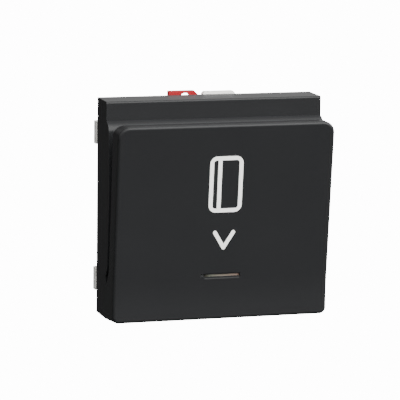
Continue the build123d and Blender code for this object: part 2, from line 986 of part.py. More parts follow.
def contact_pins():
    # Width and height of the two contacts' pins
    fixed_x = around(line_leg_x, contact_width / 2)
    common_x = around(blade_pivot_x, post_thickness / 2)
    return [
        (fixed_x, (contact_low, contact_low + contact_thickness)),
        (common_x, (contact_low, contact_low + post_thickness)),
    ]


def microswitch_cover():
    body = span((case_left, case_right), (case_front, case_front + case_lid), (case_low, case_top))
    inner_x = (case_left + case_wall + running_gap, case_right - case_wall - running_gap)
    rim_y = (case_front + case_lid / 2, case_front + case_lid + running_gap)
    body += span(inner_x, rim_y, (cavity_low + running_gap, cavity_top - running_gap))
    return body


def microswitch_plunger():
    stem = along_z(plunger_radius, plunger_x, plunger_y, (plunger_low, plunger_top))
    tip = stem.edges().filter_by(GeomType.CIRCLE).sort_by(Axis.Z)[-1]
    stem = chamfer(tip, plunger_tip)
    flange_high = cavity_top - slide_gap
    flange_low = flange_high - plunger_flange
    return stem + along_z(plunger_radius + plunger_flange, plunger_x, plunger_y, (flange_low, flange_high))


def moving_blade():
    x_range = (blade_end_x, blade_pivot_x + blade_end_gap / 2)
    blade = span(x_range, around(plunger_y, blade_width / 2), (blade_top - blade_thickness, blade_top))
    under = blade_top - blade_thickness
    return blade + along_z(button_radius, button_x, plunger_y, (under - button_height, under + blade_thickness / 2))


def blade_drop(x, below):
    # How far a point under the blade has sunk when the plunger is in
    swing = radians(blade_swing)
    return (blade_pivot_x - x) * sin(swing) + below * cos(swing)


def fixed_contact():
    low = contact_low
    high = low + contact_thickness
    outer_edge = button_x - button_radius
    reach = blade_drop(outer_edge, blade_thickness / 2 + button_height)
    button_top = blade_mid - reach - slide_gap
    plate_x = around(button_x, button_radius + running_gap)
    body = span(plate_x, around(plunger_y, blade_width / 2), (low, high))
    body += along_z(button_radius, button_x, plunger_y, (low + contact_thickness / 2, button_top))
    pin_x = around(line_leg_x, contact_width / 2)
    body += span(pin_x, (plunger_y, tail_back), (low, high))
    body += span(pin_x, (tail_front, tail_back), (low, leg_low))
    return body


def common_contact():
    low = contact_low
    post_x = around(blade_pivot_x, post_thickness / 2)
    top = blade_top - blade_thickness - button_height / 2
    body = span(post_x, around(plunger_y, blade_width / 2), (low, top))
    body += span(post_x, (plunger_y, tail_back), (low, low + post_thickness))
    tail_x = (load_leg_x - leg_width / 2, load_leg_x + leg_width / 2)
    foot_x = (min(post_x[0], tail_x[0]), max(post_x[1], tail_x[1]))
    body += span(foot_x, (tail_front, tail_back), (low, leg_low))
    return body


def circuit_board():
    body = span((board_left, board_right_x), (board_front, board_back), (board_low, board_top))
    through = (board_front - cut_overrun, board_back + cut_overrun)
    for x_range, z_range in contact_pins():
        body -= span(widened(x_range), through, widened(z_range))
    for x, z in post_places()[:2]:
        body -= along_y(post_pin_radius + running_gap, x, z, through)
    return body


def part_x():
    # Middle of the free stretch of board beside the switch
    return (case_right + board_right_x) / 2


def indicator_led():
    # A flat lamp whose round cup faces the light guide
    top = board_front - led_thickness
    body = span(around(light_x, led_length / 2), (top, board_front), around(led_z, led_width / 2))
    return body - along_y(led_cup_radius, light_x, led_z, (top - cut_overrun, top + led_cup_depth))


def led_resistor():
    x = part_x()
    top = board_front - resistor_thickness
    height = around(resistor_z, resistor_width / 2)
    body = span(around(x, resistor_length / 2), (top + cap_proud, board_front), height)
    for side in (-1, 1):
        outer = x + side * (resistor_length / 2 + cap_proud)
        cap = sorted((outer, outer - side * resistor_cap))
        body += span(cap, (top, board_front), around(resistor_z, resistor_width / 2 + cap_proud))
    return body


def led_diode():
    # A moulded block on two bent feet
    x = part_x()
    top = board_front - diode_thickness
    lifted = board_front - diode_foot_thickness
    body = span(around(x, diode_length / 2), (top, lifted), around(diode_z, diode_width / 2))
    body = chamfer(body.edges().group_by(Axis.Y)[0], diode_bevel)
    feet = around(x, diode_length / 2 + diode_foot_reach)
    return body + span(feet, (lifted, board_front), around(diode_z, diode_foot / 2))


def rear_cover():
    z_range = (block_low, block_low + block_rear_height)
    body = span((-block_half_width, block_half_width), (block_back, block_back + block_lid), z_range)
    corners = body.edges().filter_by(Axis.Y)
    body = fillet(corners, tray_corner_round)
    for x in terminal_xs:
        hole = along_y(access_radius, x, cage_z, (block_back - cut_overrun, block_back + block_lid + cut_overrun))
        body -= hole
    rims = body.edges().filter_by(GeomType.CIRCLE).group_by(Axis.Y)[-1]
    rims = [edge for edge in rims if abs(edge.radius - access_radius) < running_gap]
    body = chamfer(rims, access_bevel)
    for side in (-1, 1):
        outer = side * block_half_width
        inner = side * (block_half_width - lid_arm_thickness)
        x_range = sorted((inner, outer))
        z_arm = around(lid_arm_z(), lid_arm_width / 2)
        body += span(x_range, (block_back - lid_arm_length, block_back + block_lid / 2), z_arm)
        barb = [
            (inner, block_back - lid_arm_length),
            (inner, block_back - lid_arm_length + lid_barb),
            (inner - side * (lid_barb - slide_gap), block_back - lid_arm_length + lid_barb),
        ]
        body += plan_polygon(barb, z_arm)
    return body


def terminal_bar(x, leg_x):
    # The flat bar in the cage and its leg through the floor
    z_low = terminal_low + slide_gap
    body = span(around(x, bar_width / 2), (bar_front, bar_back), (z_low, leg_high))
    low_x = min(leg_x - leg_width / 2, x - bar_width / 2)
    high_x = max(leg_x + leg_width / 2, x + bar_width / 2)
    body += span((low_x, high_x), (bar_front, bar_back), (leg_low, leg_high))
    return body + span(around(leg_x, leg_width / 2), (tail_front, bar_back), (leg_low, leg_high))


def neutral_bar():
    body = terminal_bar(terminal_xs[2], neutral_leg_x)
    tail_z = (leg_low - neutral_tail, leg_high)
    body += span(around(neutral_leg_x, leg_width / 2), (tail_front, tail_back), tail_z)
    foot_z = (leg_low - neutral_tail, leg_low - neutral_tail + tail_thickness)
    return body + span(around(neutral_leg_x, leg_width / 2), (board_back, tail_front), foot_z)


def terminal_cage(x):
    half = cage_width / 2
    body = span(around(x, half), (cage_low, cage_back), around(cage_z, cage_length / 2))
    inner = span(around(x, half - cage_side), (cage_seat, cage_roof), around(cage_z, cage_length))
    body -= inner
    return body - along_y(screw_radius + running_gap, x, cage_z, (cage_roof - cut_overrun, cage_back + cut_overrun))


def terminal_screw(x):
    head_back = screw_head_front + screw_head_height
    head = along_y(screw_head_radius, x, cage_z, (screw_head_front, head_back))
    rim = head.edges().filter_by(GeomType.CIRCLE).sort_by(Axis.Y)[-1]
    head = chamfer(rim, drive_depth / 2)
    shank = along_y(screw_radius, x, cage_z, (screw_tip, screw_head_front))
    slot_y = (head_back - drive_depth, head_back + cut_overrun)
    slot = span(around(x, screw_head_radius), slot_y, around(cage_z, drive_width))
    return head + shank - slot


def model():
    names = ("line", "load", "neutral")
    pieces = {
        "bezel": bezel(),
        "front_cover": front_cover(),
        "card_guide": card_guide(),
        "light_guide": light_guide(),
        "cover_screws": foot_screws(),
        "mechanism_base": mechanism_base(),
        "rear_cover": rear_cover(),
        "release_latch": release_latch(),
        "latch_spring": latch_spring(),
        "card_lever": card_lever(),
        "lever_pin": lever_pin(),
        "lever_spring": lever_spring(),
        "microswitch_case": microswitch_case(),
        "microswitch_cover": microswitch_cover(),
        "microswitch_plunger": microswitch_plunger(),
        "moving_blade": moving_blade(),
        "fixed_contact": fixed_contact(),
        "common_contact": common_contact(),
        "circuit_board": circuit_board(),
        "indicator_led": indicator_led(),
        "led_resistor": led_resistor(),
        "led_diode": led_diode(),
        "line_bar": terminal_bar(terminal_xs[0], line_leg_x),
        "load_bar": terminal_bar(terminal_xs[1], load_leg_x),
        "neutral_bar": neutral_bar(),
    }
    for name, x in zip(names, terminal_xs):
        pieces[name + "_cage"] = terminal_cage(x)
        pieces[name + "_screw"] = terminal_screw(x)
    return pieces


os.makedirs("parts", exist_ok=True)
for node, shape in model().items():
    export_step(shape, "parts/" + node + ".step")
print("lever swing", lever_swing, "blade swing", blade_swing)
print("latch travel", latch_travel, "cage travel", screw_pitch * screw_turns)
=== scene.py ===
import bpy
import bmesh
import json
import math
from mathutils import Matrix, Vector


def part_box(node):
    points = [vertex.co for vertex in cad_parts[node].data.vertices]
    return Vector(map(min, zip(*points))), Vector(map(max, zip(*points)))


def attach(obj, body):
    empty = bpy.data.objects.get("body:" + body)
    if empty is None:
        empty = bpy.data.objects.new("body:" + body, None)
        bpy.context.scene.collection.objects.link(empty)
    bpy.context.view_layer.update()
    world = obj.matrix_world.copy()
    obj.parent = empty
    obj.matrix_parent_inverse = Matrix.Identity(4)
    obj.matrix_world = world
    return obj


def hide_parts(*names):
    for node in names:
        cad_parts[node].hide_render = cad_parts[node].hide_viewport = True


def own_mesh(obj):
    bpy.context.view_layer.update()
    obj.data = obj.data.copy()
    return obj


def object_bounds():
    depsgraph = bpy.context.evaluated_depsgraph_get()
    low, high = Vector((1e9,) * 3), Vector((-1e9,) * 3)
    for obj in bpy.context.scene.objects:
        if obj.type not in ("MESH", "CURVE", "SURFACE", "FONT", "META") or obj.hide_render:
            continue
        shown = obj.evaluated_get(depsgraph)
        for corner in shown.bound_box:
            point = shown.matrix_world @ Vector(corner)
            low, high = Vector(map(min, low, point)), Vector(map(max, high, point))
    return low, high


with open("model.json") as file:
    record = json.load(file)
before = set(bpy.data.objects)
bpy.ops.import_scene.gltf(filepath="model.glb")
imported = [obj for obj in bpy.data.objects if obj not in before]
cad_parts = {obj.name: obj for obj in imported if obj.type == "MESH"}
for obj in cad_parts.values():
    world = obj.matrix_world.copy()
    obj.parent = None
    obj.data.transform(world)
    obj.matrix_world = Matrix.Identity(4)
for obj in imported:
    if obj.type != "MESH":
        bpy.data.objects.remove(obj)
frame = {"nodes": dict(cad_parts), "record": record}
cadLow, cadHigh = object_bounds()
cadNodes = frame["nodes"]
print("frame loaded:", len(cadNodes), "pieces")


# Small helpers for colour and for shader nodes

def paint(red, green, blue):  # screen colour, 0 to 255, as the shader's linear values
    def linear(value):  # the sRGB curve
        share = value / 255
        return share / 12.92 if share <= 0.04045 else ((share + 0.055) / 1.055) ** 2.4
    return (linear(red), linear(green), linear(blue), 1.0)


def addNode(tree, kind, place, **values):
    node = tree.nodes.new(kind)
    node.location = place
    for name, value in values.items():
        setattr(node, name, value)
    return node


def setInputs(node, values):
    for name, value in values.items():
        node.inputs[name].default_value = value


def feed(tree, value, socket):
    # value is a constant or another node's output
    if isinstance(value, bpy.types.NodeSocket):
        tree.links.new(value, socket)
    else:
        socket.default_value = value


def startGroup(name, inputs, outputs):
    tree = bpy.data.node_groups.new(name, "ShaderNodeTree")
    for label, value in inputs:
        socket = tree.interface.new_socket(
            name=label, in_out="INPUT", socket_type="NodeSocketFloat")
        socket.default_value = value
    for label in outputs:
        tree.interface.new_socket(name=label, in_out="OUTPUT", socket_type="NodeSocketFloat")
    entry = addNode(tree, "NodeGroupInput", (-900, 0))
    leave = addNode(tree, "NodeGroupOutput", (700, 0))
    return tree, entry, leave


def placeGroup(tree, group, place, values):
    node = addNode(tree, "ShaderNodeGroup", place)
    node.node_tree = group
    setInputs(node, values)
    return node


def startMaterial(name, settings):
    material = bpy.data.materials.new(name)
    material.use_nodes = True
    tree = material.node_tree
    tree.nodes.clear()
    finish = addNode(tree, "ShaderNodeOutputMaterial", (700, 0))
    shader = addNode(tree, "ShaderNodeBsdfPrincipled", (400, 0))
    setInputs(shader, settings)
    tree.links.new(shader.outputs["BSDF"], finish.inputs["Surface"])
    material.diffuse_color = settings["Base Color"]
    return material, tree, shader


def calculate(tree, place, operation, first, second, clamp=False):
    node = addNode(tree, "ShaderNodeMath", place, operation=operation, use_clamp=clamp)
    feed(tree, first, node.inputs[0])
    feed(tree, second, node.inputs[1])
    return node.outputs["Value"]


def mixColours(tree, place, factor, first, second):
    mixer = addNode(tree, "ShaderNodeMix", place, data_type="RGBA")
    tree.links.new(factor, mixer.inputs["Factor"])
    ends = {socket.name: socket for socket in mixer.inputs if socket.type == "RGBA"}
    feed(tree, first, ends["A"])
    feed(tree, second, ends["B"])
    return next(socket for socket in mixer.outputs if socket.type == "RGBA")


def mapValue(tree, place, value, low, high, start=0.0, end=1.0, curve="LINEAR"):
    # a value from start to end becomes one from low to high
    node = addNode(tree, "ShaderNodeMapRange", place, interpolation_type=curve)
    setInputs(node, {"From Min": start, "From Max": end, "To Min": low, "To Max": high})
    tree.links.new(value, node.inputs["Value"])
    return node.outputs["Result"]


def addBump(tree, shader, height, strength, distance):
    bump = addNode(tree, "ShaderNodeBump", (100, -250))
    setInputs(bump, {"Strength": strength, "Distance": distance})
    tree.links.new(height, bump.inputs["Height"])
    tree.links.new(bump.outputs["Normal"], shader.inputs["Normal"])


# Shared effects: a moulded surface's grain, worn edges and a metal's drawn lines

def makeMouldGrain():
    look = {
        "Height": {"scale": "Scale", "row": 200, "detail": 3.0, "roughness": 0.6},
        "Cloud": {"scale": "Cloud Scale", "row": -100, "detail": 2.0, "roughness": 0.5},
    }
    tree, entry, leave = startGroup(
        "mouldGrain", [("Scale", 4000.0), ("Cloud Scale", 120.0)], ["Height", "Cloud"])
    coords = addNode(tree, "ShaderNodeTexCoord", (-700, 200))
    for result, noiseLook in look.items():
        noise = addNode(tree, "ShaderNodeTexNoise", (-400, noiseLook["row"]))
        setInputs(noise, {"Detail": noiseLook["detail"], "Roughness": noiseLook["roughness"]})
        tree.links.new(coords.outputs["Object"], noise.inputs["Vector"])
        tree.links.new(entry.outputs[noiseLook["scale"]], noise.inputs["Scale"])
        tree.links.new(noise.outputs["Fac"], leave.inputs[result])
    return tree


def makeEdgeWear():
    # Worn where a rounded normal leaves the true one, and patchy along the edge
    look = {"samples": 6, "gain": 9.0, "patchScale": 900.0, "patchDetail": 4.0}
    tree, entry, leave = startGroup("edgeWear", [("Width", 0.0003), ("Amount", 0.5)], ["Mask"])
    rounded = addNode(tree, "ShaderNodeBevel", (-700, 200), samples=look["samples"])
    surface = addNode(tree, "ShaderNodeNewGeometry", (-700, 0))
    alike = addNode(tree, "ShaderNodeVectorMath", (-450, 100), operation="DOT_PRODUCT")
    coords = addNode(tree, "ShaderNodeTexCoord", (-700, -250))
    patches = addNode(tree, "ShaderNodeTexNoise", (-450, -250))
    setInputs(patches, {"Scale": look["patchScale"], "Detail": look["patchDetail"]})
    tree.links.new(entry.outputs["Width"], rounded.inputs["Radius"])
    tree.links.new(rounded.outputs["Normal"], alike.inputs[0])
    tree.links.new(surface.outputs["Normal"], alike.inputs[1])
    tree.links.new(coords.outputs["Object"], patches.inputs["Vector"])
    apart = calculate(tree, (-250, 100), "SUBTRACT", 1.0, alike.outputs["Value"])
    gain = calculate(tree, (-250, -100), "MULTIPLY", entry.outputs["Amount"], look["gain"])
    strong = calculate(tree, (-50, 100), "MULTIPLY", apart, gain, clamp=True)
    mask = calculate(tree, (250, 50), "MULTIPLY", strong, patches.outputs["Fac"], clamp=True)
    tree.links.new(mask, leave.inputs["Mask"])
    return tree


def makeBrushedLines():
    # Noise stretched along Y, the way that the metal parts are drawn or rolled
    tree, entry, leave = startGroup(
        "brushedLines", [("Across", 9000.0), ("Along", 300.0)], ["Line"])
    coords = addNode(tree, "ShaderNodeTexCoord", (-700, 100))
    stretch = addNode(tree, "ShaderNodeCombineXYZ", (-700, -150))
    scaled = addNode(tree, "ShaderNodeVectorMath", (-450, 50), operation="MULTIPLY")
    noise = addNode(tree, "ShaderNodeTexNoise", (-200, 50))
    setInputs(noise, {"Scale": 1.0, "Detail": 3.0})
    for axis, scale in (("X", "Across"), ("Y", "Along"), ("Z", "Across")):
        tree.links.new(entry.outputs[scale], stretch.inputs[axis])
    tree.links.new(coords.outputs["Object"], scaled.inputs[0])
    tree.links.new(stretch.outputs["Vector"], scaled.inputs[1])
    tree.links.new(scaled.outputs["Vector"], noise.inputs["Vector"])
    tree.links.new(noise.outputs["Fac"], leave.inputs["Line"])
    return tree


mouldGrain = makeMouldGrain()
edgeWear = makeEdgeWear()
brushedLines = makeBrushedLines()
print("shared effects made")


# Moulded plastics

def makeMouldedPlastic(name, look):
    material, tree, shader = startMaterial(name, {
        "Base Color": look["colour"],
        "Specular IOR Level": look["specular"],
        "IOR": look["index"],
    })
    grain = placeGroup(tree, mouldGrain, (-700, 0), {
        "Scale": look["grain"],
        "Cloud Scale": look["cloud"],
    })
    wear = placeGroup(tree, edgeWear, (-700, 300), {
        "Width": look["edgeWidth"],
        "Amount": look["edgeAmount"],
    })
    height = grain.outputs["Height"]
    body = mixColours(
        tree, (-350, 200), grain.outputs["Cloud"], look["colour"], look["colourTwo"])
    worn = mixColours(tree, (-100, 200), wear.outputs["Mask"], body, look["edgeColour"])
    tree.links.new(worn, shader.inputs["Base Color"])
    rough = mapValue(tree, (-350, -100), height, look["roughLow"], look["roughHigh"])
    tree.links.new(rough, shader.inputs["Roughness"])
    addBump(tree, shader, height, look["bump"], look["bumpHeight"])
    return material


anthraciteLook = {
    "colour": paint(33, 33.5, 34.5),
    "colourTwo": paint(30.5, 31, 32),
    "edgeColour": paint(52, 53, 56),
    "specular": 0.16, "index": 1.47,
    "grain": 5200.0, "cloud": 90.0,
    "edgeWidth": 0.00025, "edgeAmount": 0.25,
    "roughLow": 0.26, "roughHigh": 0.36,
    "bump": 0.25, "bumpHeight": 0.000012,
}
whiteLook = {
    "colour": paint(245, 244, 240),
    "colourTwo": paint(239, 238, 233),
    "edgeColour": paint(250, 249, 246),
    "specular": 0.5, "index": 1.5,
    "grain": 2600.0, "cloud": 110.0,
    "edgeWidth": 0.0002, "edgeAmount": 0.3,
    "roughLow": 0.32, "roughHigh": 0.5,
    "bump": 0.2, "bumpHeight": 0.000015,
}
redLook = {
    "colour": paint(146, 16, 25),
    "colourTwo": paint(137, 13, 22),
    "edgeColour": paint(172, 38, 44),
    "specular": 0.5, "index": 1.5,
    "grain": 2200.0, "cloud": 150.0,
    "edgeWidth": 0.0002, "edgeAmount": 0.4,
    "roughLow": 0.25, "roughHigh": 0.4,
    "bump": 0.2, "bumpHeight": 0.00001,
}
greyLook = {
    "colour": paint(112, 115, 118),
    "colourTwo": paint(104, 107, 110),
    "edgeColour": paint(140, 142, 145),
    "specular": 0.5, "index": 1.5,
    "grain": 2400.0, "cloud": 130.0,
    "edgeWidth": 0.0002, "edgeAmount": 0.4,
    "roughLow": 0.3, "roughHigh": 0.45,
    "bump": 0.2, "bumpHeight": 0.000012,
}
blackLook = {
    "colour": paint(26, 26, 27),
    "colourTwo": paint(22, 22, 23),
    "edgeColour": paint(52, 52, 54),
    "specular": 0.5, "index": 1.5,
    "grain": 3000.0, "cloud": 180.0,
    "edgeWidth": 0.00015, "edgeAmount": 0.4,
    "roughLow": 0.35, "roughHigh": 0.5,
    "bump": 0.25, "bumpHeight": 0.000012,
}
resistorLook = {
    "colour": paint(196, 170, 128),
    "colourTwo": paint(186, 158, 116),
    "edgeColour": paint(214, 192, 156),
    "specular": 0.5, "index": 1.5,
    "grain": 2600.0, "cloud": 300.0,
    "edgeWidth": 0.0001, "edgeAmount": 0.2,
    "roughLow": 0.35, "roughHigh": 0.5,
    "bump": 0.2, "bumpHeight": 0.000012,
}
diodeLook = {
    "colour": paint(30, 30, 32),
    "colourTwo": paint(24, 24, 26),
    "edgeColour": paint(60, 60, 62),
    "specular": 0.5, "index": 1.5,
    "grain": 2600.0, "cloud": 300.0,
    "edgeWidth": 0.0001, "edgeAmount": 0.3,
    "roughLow": 0.2, "roughHigh": 0.32,
    "bump": 0.1, "bumpHeight": 0.00001,
}
boardLook = {
    "colour": paint(38, 96, 58),
    "colourTwo": paint(30, 82, 48),
    "edgeColour": paint(150, 140, 96),
    "specular": 0.5, "index": 1.5,
    "grain": 3600.0, "cloud": 420.0,
    "edgeWidth": 0.0001, "edgeAmount": 0.6,
    "roughLow": 0.25, "roughHigh": 0.4,
    "bump": 0.15, "bumpHeight": 0.00001,
}


# Clear and tinted plastics

def makeShadedWindowPlastic():
    # Painted shade darkens the left end, where the recess shades it; warm towards the right
    look = {
        "colour": paint(96, 98, 88), "leftEnd": -0.0045, "rightEnd": 0.0039,
        # the stops up to 0.25 paint the recess's shade at the window's left end
        "shadedStops": (
            (0.0, paint(58, 59, 60)),
            (0.085, paint(58, 59, 60)),
            (0.105, paint(34, 34, 34)),
            (0.14, paint(56, 54, 46)),
            (0.25, paint(116, 118, 106)),
            (0.5, paint(138, 132, 120)),
            (0.93, paint(146, 126, 114)),
            (1.0, paint(90, 62, 50)),
        ),
        "roughness": 0.22, "index": 1.49, "transmission": 0.25,
        "coat": 0.4, "coatRoughness": 0.12,
        "grain": 1800.0, "cloud": 200.0, "bump": 0.1, "bumpHeight": 0.00001,
    }
    material, tree, shader = startMaterial("windowPlasticPaintedShade", {
        "Base Color": look["colour"],
        "Roughness": look["roughness"],
        "IOR": look["index"],
        "Transmission Weight": look["transmission"],
        "Coat Weight": look["coat"],
        "Coat Roughness": look["coatRoughness"],
    })
    coords = addNode(tree, "ShaderNodeTexCoord", (-900, 100))
    axes = addNode(tree, "ShaderNodeSeparateXYZ", (-700, 100))
    tree.links.new(coords.outputs["Object"], axes.inputs["Vector"])
    along = mapValue(
        tree, (-500, 100), axes.outputs["X"], 0.0, 1.0, look["leftEnd"], look["rightEnd"])
    ramp = addNode(tree, "ShaderNodeValToRGB", (-300, 100))
    shadedStops = ramp.color_ramp.elements
    while len(shadedStops) < len(look["shadedStops"]):
        shadedStops.new(0.5)
    for stop, (position, colour) in zip(shadedStops, look["shadedStops"]):
        stop.position = position
        stop.color = colour
    tree.links.new(along, ramp.inputs["Fac"])
    tree.links.new(ramp.outputs["Color"], shader.inputs["Base Color"])
    grain = placeGroup(tree, mouldGrain, (-500, -250), {
        "Scale": look["grain"],
        "Cloud Scale": look["cloud"],
    })
    addBump(tree, shader, grain.outputs["Height"], look["bump"], look["bumpHeight"])
    return material


def makeLampResin():
    look = {
        "colour": paint(232, 150, 62), "colourTwo": paint(214, 124, 44),
        "roughness": 0.12, "index": 1.54, "transmission": 0.6,
        "grain": 900.0, "cloud": 500.0,
    }
    material, tree, shader = startMaterial("lampResin", {
        "Base Color": look["colour"],
        "Roughness": look["roughness"],
        "IOR": look["index"],
        "Transmission Weight": look["transmission"],
    })
    grain = placeGroup(tree, mouldGrain, (-500, 0), {
        "Scale": look["grain"],
        "Cloud Scale": look["cloud"],
    })
    body = mixColours(
        tree, (-150, 100), grain.outputs["Cloud"], look["colour"], look["colourTwo"])
    tree.links.new(body, shader.inputs["Base Color"])
    return material


# Metals

def makeMetal(name, look):
    material, tree, shader = startMaterial(name, {
        "Base Color": look["colour"],
        "Metallic": 1.0,
        "Anisotropic": look["anisotropy"],
    })
    lines = placeGroup(tree, brushedLines, (-700, 0), {
        "Across": look["across"],
        "Along": look["along"],
    })
    wear = placeGroup(tree, edgeWear, (-700, 300), {
        "Width": look["edgeWidth"],
        "Amount": look["edgeAmount"],
    })
    line = lines.outputs["Line"]
    body = mixColours(tree, (-350, 200), line, look["colour"], look["colourTwo"])
    worn = mixColours(tree, (-100, 200), wear.outputs["Mask"], body, look["edgeColour"])
    tree.links.new(worn, shader.inputs["Base Color"])
    rough = mapValue(tree, (-350, -100), line, look["roughLow"], look["roughHigh"])
    tree.links.new(rough, shader.inputs["Roughness"])
    addBump(tree, shader, line, look["bump"], look["bumpHeight"])
    return material


steelLook = {
    "colour": paint(196, 198, 202),
    "colourTwo": paint(176, 180, 186),
    "edgeColour": paint(226, 228, 230),
    "anisotropy": 0.3, "across": 7000.0, "along": 500.0,
    "edgeWidth": 0.0001, "edgeAmount": 0.5,
    "roughLow": 0.22, "roughHigh": 0.4,
    "bump": 0.15, "bumpHeight": 0.000008,
}
brassLook = {
    "colour": paint(214, 178, 104),
    "colourTwo": paint(194, 156, 84),
    "edgeColour": paint(236, 208, 146),
    "anisotropy": 0.3, "across": 6000.0, "along": 400.0,
    "edgeWidth": 0.0001, "edgeAmount": 0.5,
    "roughLow": 0.2, "roughHigh": 0.38,
    "bump": 0.15, "bumpHeight": 0.000008,
}


# Each finish under the name that the record gives it

finishes = {
    "anthracite_plastic": makeMouldedPlastic("anthracitePlastic", anthraciteLook),
    "white_plastic": makeMouldedPlastic("whitePlastic", whiteLook),
    "red_plastic": makeMouldedPlastic("redPlastic", redLook),
    "grey_plastic": makeMouldedPlastic("greyPlastic", greyLook),
    "black_plastic": makeMouldedPlastic("blackPlastic", blackLook),
    "resistor_body": makeMouldedPlastic("resistorBody", resistorLook),
    "diode_body": makeMouldedPlastic("diodeBody", diodeLook),
    "board_green": makeMouldedPlastic("boardGreen", boardLook),
    "window_plastic": makeShadedWindowPlastic(),
    "led_plastic": makeLampResin(),
    "steel": makeMetal("steel", steelLook),
    "brass": makeMetal("brass", brassLook),
}

for part in frame["record"]["subparts"]:
    model = cadNodes[part["node"]]
    model.data.materials.clear()
    model.data.materials.append(finishes[part["material_slot"]])
print("finishes given to", len(cadNodes), "pieces")


# The two springs, copied as coils that ride on the housing; their joints and shortenings are not
# used

springs = {
    "latch_spring": {"joint": "latch_slide", "shorten": 0.0018},
    "lever_spring": {"joint": "lever_tip", "shorten": 0.00195},
}


def shortenSpring(node):
    model = cadNodes[node]
    spring = bpy.data.objects.new(node + "Coil", model.data.copy())
    bpy.context.scene.collection.objects.link(spring)
    spring.matrix_world = model.matrix_world.copy()
    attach(spring, "housing")
    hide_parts(node)
    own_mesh(spring)


for springNode, springLook in springs.items():
    shortenSpring(springNode)


# What every added piece is made with: build draws the mesh from the details given

def addPiece(name, build, details, material):
    mesh = bpy.data.meshes.new(name)
    model = bmesh.new()
    build(model, details)
    bmesh.ops.recalc_face_normals(model, faces=model.faces)
    model.to_mesh(mesh)
    model.free()
    piece = bpy.data.objects.new(name, mesh)
    bpy.context.scene.collection.objects.link(piece)
    mesh.materials.append(material)
    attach(piece, "housing")


def bridge(model, first, second):
    # A band of faces between two closed rings of points
    for i in range(len(first)):
        j = (i + 1) % len(first)
        model.faces.new((first[i], first[j], second[j], second[i]))


# The cover's sloping front, on which the printed pieces lie: x and z from the middle

frontFace = {"reachLow": 0.013, "reachTop": 0.01655, "low": -0.0165, "top": 0.01815}
frontRise = frontFace["top"] - frontFace["low"]
frontSlope = (frontFace["reachTop"] - frontFace["reachLow"]) / frontRise
frontNormal = Vector((0, -1, -frontSlope)).normalized()


def onFront(x, z, lift):
    y = -frontFace["reachLow"] - (z - frontFace["low"]) * frontSlope
    return Vector((x, y, z)) + frontNormal * lift


def raiseOutline(model, outline, lift, sink):
    # A filled outline with a wall down into the cover's face
    top = [model.verts.new(onFront(x, z, lift)) for x, z in outline]
    base = [model.verts.new(onFront(x, z, -sink)) for x, z in outline]
    model.faces.new(top)
    bridge(model, top, base)


def roundedLoop(left, right, low, top, radius, steps):
    corners = (
        (right - radius, top - radius, 0),
        (left + radius, top - radius, 90),
        (left + radius, low + radius, 180),
        (right - radius, low + radius, 270),
    )
    loop = []
    for x, z, start in corners:
        for step in range(steps + 1):
            angle = math.radians(start + 90 * step / steps)
            loop.append((x + radius * math.cos(angle), z + radius * math.sin(angle)))
    return loop


def makeInk(name, look):
    material, tree, shader = startMaterial(name, {
        "Base Color": look["colour"],
        "Specular IOR Level": look["specular"],
    })
    grain = placeGroup(tree, mouldGrain, (-600, 0), {
        "Scale": look["grain"],
        "Cloud Scale": look["cloud"],
    })
    if "colourTwo" in look:
        body = mixColours(
            tree, (-200, 100), grain.outputs["Cloud"], look["colour"], look["colourTwo"])
        tree.links.new(body, shader.inputs["Base Color"])
    rough = mapValue(
        tree, (-200, -100), grain.outputs["Height"], look["roughLow"], look["roughHigh"])
    tree.links.new(rough, shader.inputs["Roughness"])
    return material


# The two printed symbols, a card and a chevron

symbolInk = {
    "colour": paint(250, 250, 246), "colourTwo": paint(244, 244, 240), "specular": 0.4,
    "grain": 5200.0, "cloud": 700.0, "roughLow": 0.45, "roughHigh": 0.6,
}
cardSign = {
    "left": -0.00341, "right": 0.0035, "low": 0.00018, "top": 0.01168,
    "stroke": 0.00082, "outerRound": 0.0015, "innerRound": 0.00055,
    "stripeLeft": -0.00171, "stripeRight": -0.00089,
    "lift": 0.00003, "sink": 0.00004, "steps": 10,
}
chevronSign = {
    "left": (-0.00182, -0.00397), "tip": (0.00006, -0.00713), "right": (0.002, -0.00398),
    "stroke": 0.00081, "lift": 0.00003, "sink": 0.00004, "steps": 10,
}


def buildCardOutline(model, sign):
    stroke = sign["stroke"]
    outer = roundedLoop(
        sign["left"], sign["right"], sign["low"], sign["top"],
        sign["outerRound"], sign["steps"])
    inner = roundedLoop(
        sign["left"] + stroke, sign["right"] - stroke,
        sign["low"] + stroke, sign["top"] - stroke,
        sign["innerRound"], sign["steps"])
    levels = ((outer, -sign["sink"]), (outer, sign["lift"]),
              (inner, sign["lift"]), (inner, -sign["sink"]))
    rings = [[model.verts.new(onFront(x, z, lift)) for x, z in loop] for loop, lift in levels]
    for first, second in zip(rings, rings[1:]):
        bridge(model, first, second)


def buildCardStripe(model, sign):
    left, right = sign["stripeLeft"], sign["stripeRight"]
    low, top = sign["low"] + sign["stroke"], sign["top"] - sign["stroke"]
    outline = [(left, low), (right, low), (right, top), (left, top)]
    raiseOutline(model, outline, sign["lift"], sign["sink"])


